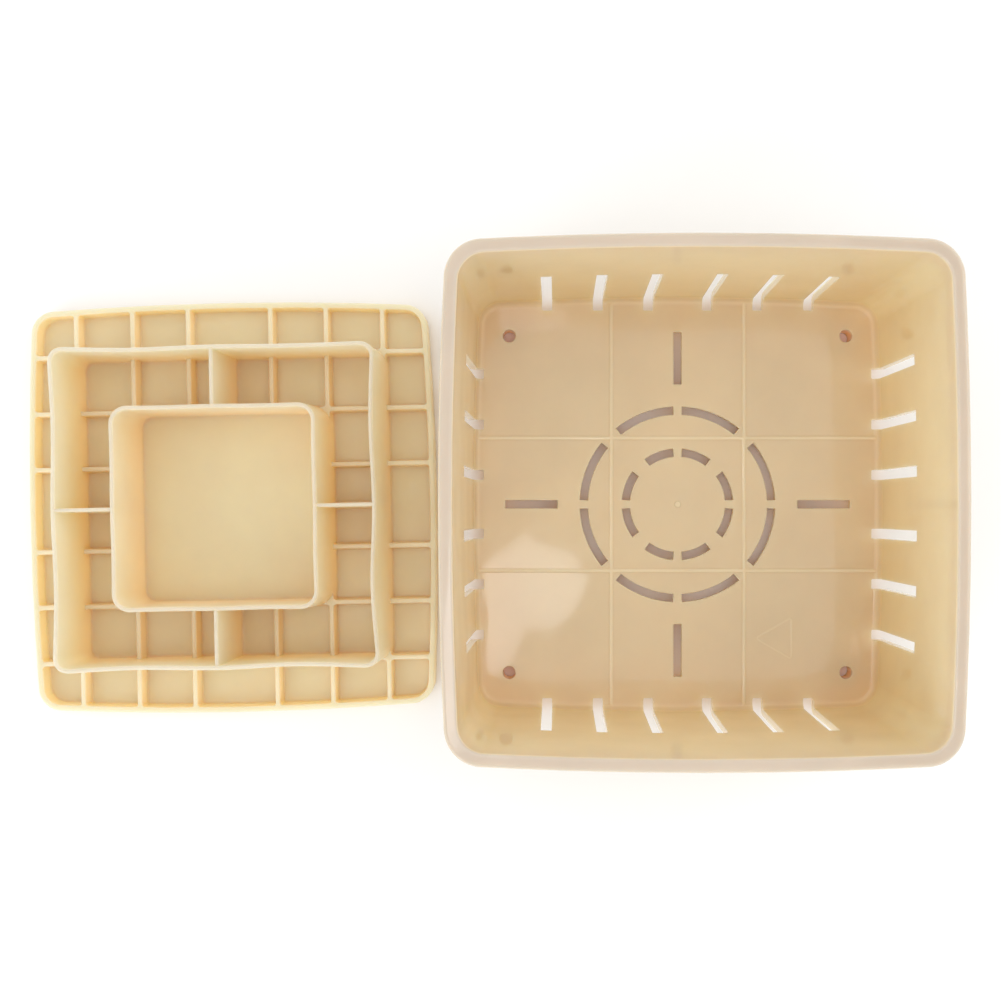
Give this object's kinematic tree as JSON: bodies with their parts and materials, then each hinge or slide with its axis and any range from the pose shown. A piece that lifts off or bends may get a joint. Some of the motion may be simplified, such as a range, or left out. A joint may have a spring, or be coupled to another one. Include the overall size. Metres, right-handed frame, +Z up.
{
  "type": "cheese mold",
  "caption": "Square slotted pressing box with a rim lip and small feet, and a ribbed press plate with two tall square frames that fits inside it.",
  "frame": {"origin": "middle of the pair's footprint, on the surface that both pieces stand on", "axes": "+X from the press plate to the mold box, +Y towards the back, +Z up"},
  "size_m": [0.2462, 0.1254, 0.066],
  "materials": {
    "box_plastic": "glossy, slightly translucent ivory polypropylene",
    "plate_plastic": "satin ivory polypropylene"
  },
  "bodies": {
    "mold_box": {"mold_box": "box_plastic"},
    "press_plate": {"press_plate": "plate_plastic"}
  },
  "joints": [
    {"name": "press_plate_lift", "type": "slide", "parent": "mold_box", "child": "press_plate", "axis": [0, 0, 1], "range_m": [0, 0.08]}
  ]
}
